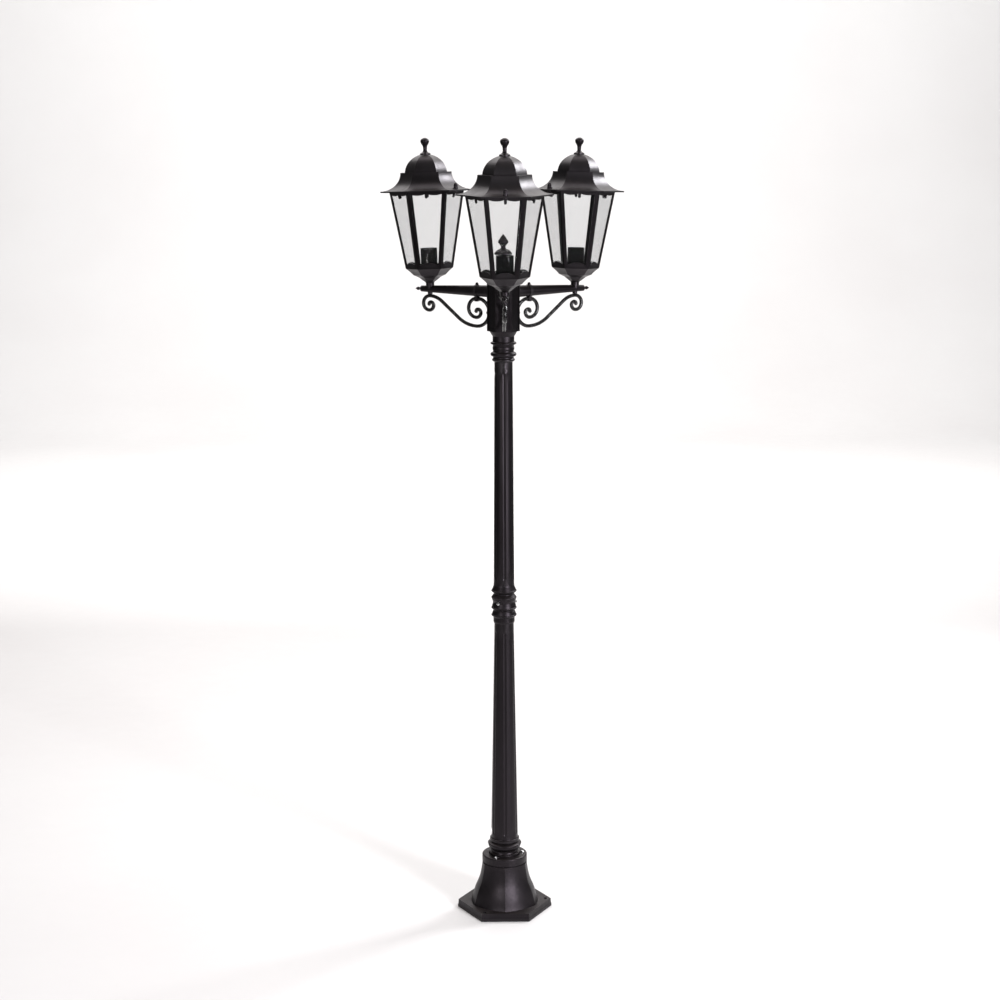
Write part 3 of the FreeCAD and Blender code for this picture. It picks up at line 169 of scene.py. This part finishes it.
def wrought_coat():
    """The same coat on hammered round bar: broad flats left by the hammer."""
    deep_tone = (0.0021, 0.0019, 0.0021)
    faded_tone = (0.0056, 0.0049, 0.0051)
    rubbed_tone = (0.015, 0.014, 0.015)
    flat_depth = 0.0012
    peel_depth = 0.0001
    material, tree, shader = new_material("coat_on_wrought_bar")
    points = object_points(tree)
    cloud = noise(tree, points, scale=30.0, detail=4.0, roughness=0.6)
    tone = ramp(tree, cloud, ((0.3, deep_tone), (0.75, faded_tone)))
    tone = blend_colours(tree, worn_edges(tree, low=0.53, high=0.62), tone, rubbed_tone)
    smudge = noise(tree, points, scale=55.0, detail=4.0, roughness=0.6)
    surface(tree, shader, tone, levels(tree, smudge, (0.3, 0.20), (0.75, 0.34)))
    shader.inputs["Specular IOR Level"].default_value = 0.45
    flats = texture(tree, "ShaderNodeTexVoronoi", points, feature="SMOOTH_F1", Scale=105.0, Randomness=0.85)
    peel = noise(tree, points, scale=900.0, detail=2.0)
    bumps(tree, shader, ((flats.outputs["Distance"], 0.6, flat_depth), (peel, 0.3, peel_depth)))
    return material


def machined_metal(name, tone, smoothest, roughest, mark_strength):
    """Machined metal: fine turning marks, faint stains."""
    stain_share = 0.7
    mark_depth = 0.00006
    material, tree, shader = new_material(name)
    stain_tone = tuple(channel * stain_share for channel in tone)
    stain = noise(tree, object_points(tree), scale=160.0, detail=4.0, roughness=0.6)
    colour = ramp(tree, stain, ((0.3, stain_tone), (0.6, tone)))
    surface(tree, shader, colour, levels(tree, stain, (0.3, roughest), (0.7, smoothest)))
    shader.inputs["Metallic"].default_value = 1.0
    marks = noise(tree, object_points(tree, stretch=(1, 1, 12)), scale=700.0, detail=2.0)
    bumps(tree, shader, ((marks, mark_strength, mark_depth),))
    return material


def clear_glass():
    """Clear sheet glass with a faint grey tint, slight waves and a little dust."""
    clean_tint = (0.905, 0.908, 0.910)
    dusty_tint = (0.880, 0.884, 0.887)
    wave_depth = 0.0012
    material, tree, shader = new_material("window_glass")
    patch_mask = noise(tree, object_points(tree), scale=34.0, detail=6.0, roughness=0.65)
    tint = ramp(tree, patch_mask, ((0.35, clean_tint), (0.8, dusty_tint)))
    surface(tree, shader, tint, levels(tree, patch_mask, (0.4, 0.0), (0.8, 0.03)))
    shader.inputs["Transmission Weight"].default_value = 1.0
    shader.inputs["IOR"].default_value = 1.48
    waves = noise(tree, object_points(tree, stretch=(1, 1, 0.4)), scale=11.0, detail=1.0, roughness=0.4)
    bumps(tree, shader, ((waves, 0.12, wave_depth),))
    return material


def moulded_plastic():
    """Glossy black phenolic of the lamp holders, with moulding flow lines, and dust and painted light from
    above on what looks up.
    """
    deep_tone = (0.004, 0.004, 0.0045)
    pale_tone = (0.009, 0.0088, 0.0088)
    dust_and_top_light_tone = (0.10, 0.097, 0.094)
    flow_depth = 0.0002
    material, tree, shader = new_material("moulded_black")
    flow = noise(tree, object_points(tree, stretch=(1, 1, 0.15)), scale=120.0, detail=4.0, roughness=0.6)
    tone = ramp(tree, flow, ((0.3, deep_tone), (0.75, pale_tone)))
    # Paler grey on faces that look up: dust, and painted light from above.
    tone = blend_colours(tree, dust_and_top_light(tree, object_points(tree), most=0.15), tone, dust_and_top_light_tone)
    surface(tree, shader, tone, levels(tree, flow, (0.3, 0.09), (0.8, 0.20)))
    shader.inputs["Coat Weight"].default_value = 0.6
    shader.inputs["Coat Roughness"].default_value = 0.08
    bumps(tree, shader, ((flow, 0.2, flow_depth),))
    return material


def nickelled_brass():
    """Nickelled brass of the lamp sockets: brass shows in patches, and bands stand for the thread."""
    brass_tone = (0.55, 0.42, 0.20)
    nickel_tone = (0.72, 0.66, 0.50)
    thread_depth = 0.0008
    material, tree, shader = new_material("nickelled_brass")
    points = object_points(tree)
    patch = noise(tree, points, scale=140.0, detail=5.0, roughness=0.6)
    tone = ramp(tree, patch, ((0.35, brass_tone), (0.65, nickel_tone)))
    surface(tree, shader, tone, levels(tree, patch, (0.3, 0.34), (0.7, 0.20)))
    shader.inputs["Metallic"].default_value = 1.0
    turns = texture(tree, "ShaderNodeTexWave", points, bands_direction="Z", Scale=44.0, Distortion=0.3)
    bumps(tree, shader, ((turns.outputs["Fac"], 0.8, thread_depth),))
    return material


def cable_sheath():
    """Matt black cable sheath with faint lay marks."""
    deep_tone = (0.018, 0.018, 0.018)
    pale_tone = (0.032, 0.031, 0.030)
    lay_depth = 0.0002
    material, tree, shader = new_material("lead_sheath")
    lay = noise(tree, object_points(tree), scale=300.0, roughness=0.6)
    tone = ramp(tree, lay, ((0.3, deep_tone), (0.7, pale_tone)))
    surface(tree, shader, tone, levels(tree, lay, (0.3, 0.6), (0.7, 0.75)))
    bumps(tree, shader, ((lay, 0.3, lay_depth),))
    return material


def floor_paint():
    """Pale matt paint of the floor and the backdrop."""
    shade_tone = (0.66, 0.645, 0.64)
    light_tone = (0.69, 0.68, 0.675)
    grit_depth = 0.0004
    material, tree, shader = new_material("studio_floor")
    points = object_points(tree)
    tone = ramp(tree, noise(tree, points, scale=0.7), ((0.3, shade_tone), (0.7, light_tone)))
    scuffs = noise(tree, points, scale=14.0, detail=4.0)
    surface(tree, shader, tone, levels(tree, scuffs, (0.3, 0.55), (0.7, 0.7)))
    bumps(tree, shader, ((noise(tree, points, scale=220.0), 0.05, grit_depth),))
    return material


# ------------------------------------------------------------------ finishes of the CAD nodes

coat_on_casting = powder_coat(
    "coat_on_casting", peel_scale=1300.0, peel_depth=0.00012, wave_depth=0.0009, roughness=0.40)
coat_on_tube = powder_coat(
    "coat_on_tube", peel_scale=1500.0, peel_depth=0.00008, wave_depth=0.0004, roughness=0.36,
    stretch=(1, 1, 0.25))
coat_on_lantern = powder_coat(
    "coat_on_lantern", peel_scale=1300.0, peel_depth=0.00010, wave_depth=0.0006, roughness=0.37)
coat_on_bar = wrought_coat()
stainless = machined_metal(
    "bright_stainless", tone=(0.74, 0.74, 0.75), smoothest=0.18, roughest=0.34, mark_strength=0.35)
dark_steel = machined_metal(
    "blackened_screw", tone=(0.06, 0.06, 0.062), smoothest=0.30, roughest=0.45, mark_strength=0.3)
zinc = machined_metal(
    "zinc_plate", tone=(0.58, 0.58, 0.55), smoothest=0.28, roughest=0.48, mark_strength=0.3)
glass = clear_glass()
plastic = moulded_plastic()
brass = nickelled_brass()
sheath = cable_sheath()

FINISHES = (
    (coat_on_casting, ("base_casting", "mid_collar", "top_collar", "hub_casting", "hub_cap", "hub_finial")),
    (coat_on_tube, ("lower_post", "upper_post", "arm")),
    (coat_on_lantern, ("cup", "cage", "roof", "roof_finial", "cap_nuts", "arm_finial", "arm_clamp",
                       "arm_clamp_screws", "scroll_screws")),
    (coat_on_bar, ("scroll",)),
    (stainless, ("base_clamp_screws", "mid_collar_screws")),
    (dark_steel, ("hub_set_screws",)),
    (zinc, ("arm_lock_nuts", "roof_studs", "lantern_nipples", "lantern_lock_nuts")),
    (glass, ("glass",)),
    (plastic, ("lampholder", "terminal_block")),
    (brass, ("lamp_socket",)),
    (sheath, ("lamp_lead",)),
)


def kind_of(name):
    """A node's name without the head that it belongs to."""
    for head in HEADS:
        if name.startswith(head + "_"):
            return name[len(head) + 1:]
    return name


finish_of = {kind: material for material, kinds in FINISHES for kind in kinds}
for name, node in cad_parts.items():
    for slot in node.material_slots:
        slot.material = finish_of[kind_of(name)]


# ------------------------------------------------------------------ studio

def floor_and_backdrop():
    """A floor that curves up into a wall behind the object, wider at the back."""
    front = -2.6
    bend = 9.0
    bend_radius = 4.0
    bend_steps = 24
    height = 12.0
    front_half_width = 1.9
    spread_start = 0.5
    spread = 0.29
    profile = [(front, 0.0), (bend, 0.0)]
    for step in range(1, bend_steps + 1):
        angle = math.radians(90 * step / bend_steps)
        profile.append((bend + bend_radius * math.sin(angle), bend_radius * (1 - math.cos(angle))))
    profile.append((bend + bend_radius, height))
    points = []
    for y, z in profile:
        half_width = front_half_width + max(0.0, spread * (y - spread_start))
        points += [(-half_width, y, z), (half_width, y, z)]
    faces = [(2 * i, 2 * i + 1, 2 * i + 3, 2 * i + 2) for i in range(len(profile) - 1)]
    mesh = bpy.data.meshes.new("studio_floor")
    mesh.from_pydata(points, [], faces)
    for face in mesh.polygons:
        face.use_smooth = True
    mesh.materials.append(floor_paint())
    sweep = bpy.data.objects.new("studio_floor", mesh)
    bpy.context.scene.collection.objects.link(sweep)


def soft_light(name, place, target, width, height, power, colour=(1, 1, 1)):
    """A rectangular soft box that faces its target."""
    data = bpy.data.lights.new(name, "AREA")
    data.shape = "RECTANGLE"
    data.size = width
    data.size_y = height
    data.energy = power
    data.color = colour
    lamp = bpy.data.objects.new(name, data)
    bpy.context.scene.collection.objects.link(lamp)
    lamp.location = place
    lamp.rotation_euler = (Vector(target) - Vector(place)).to_track_quat("-Z", "Y").to_euler()


def studio_air():
    """A faint even light from all round."""
    world = bpy.data.worlds.new("studio_air")
    world.use_nodes = True
    background = world.node_tree.nodes["Background"]
    background.inputs["Color"].default_value = (0.98, 0.985, 1.0, 1.0)
    background.inputs["Strength"].default_value = 0.08
    bpy.context.scene.world = world


def photo_camera():
    """The camera as fitted to the photograph."""
    place = (-0.10, -5.618, 2.315)
    turns = (79.35, 0.15, -0.935)
    data = bpy.data.cameras.new("photo_camera")
    data.sensor_width = 36.0
    data.lens = 70.27
    camera = bpy.data.objects.new("photo_camera", data)
    bpy.context.scene.collection.objects.link(camera)
    camera.location = place
    camera.rotation_euler = [math.radians(turn) for turn in turns]
    bpy.context.scene.camera = camera


floor_and_backdrop()
soft_light("key_box", place=(3.3, -4.2, 2.1), target=(0, 0, 1.5),
           width=0.9, height=2.2, power=360, colour=(0.97, 0.96, 1.0))
soft_light("fill_box", place=(-2.9, -4.4, 2.4), target=(0, 0, 1.5),
           width=0.8, height=1.8, power=100, colour=(1.0, 0.99, 0.98))
soft_light("rim_box", place=(2.9, 2.2, 3.7), target=(0, 0, 2.0),
           width=0.9, height=1.4, power=150, colour=(0.97, 0.975, 1.0))
soft_light("top_box", place=(0, 3.4, 5.6), target=(0, 3.4, 0),
           width=8.0, height=7.5, power=510, colour=(1.0, 0.975, 0.965))
soft_light("backdrop_wash", place=(0, 3.9, 5.6), target=(0, 13, 4.8), width=12.0, height=2.5, power=1180)
studio_air()
photo_camera()
bpy.context.scene.view_settings.view_transform = "Standard"
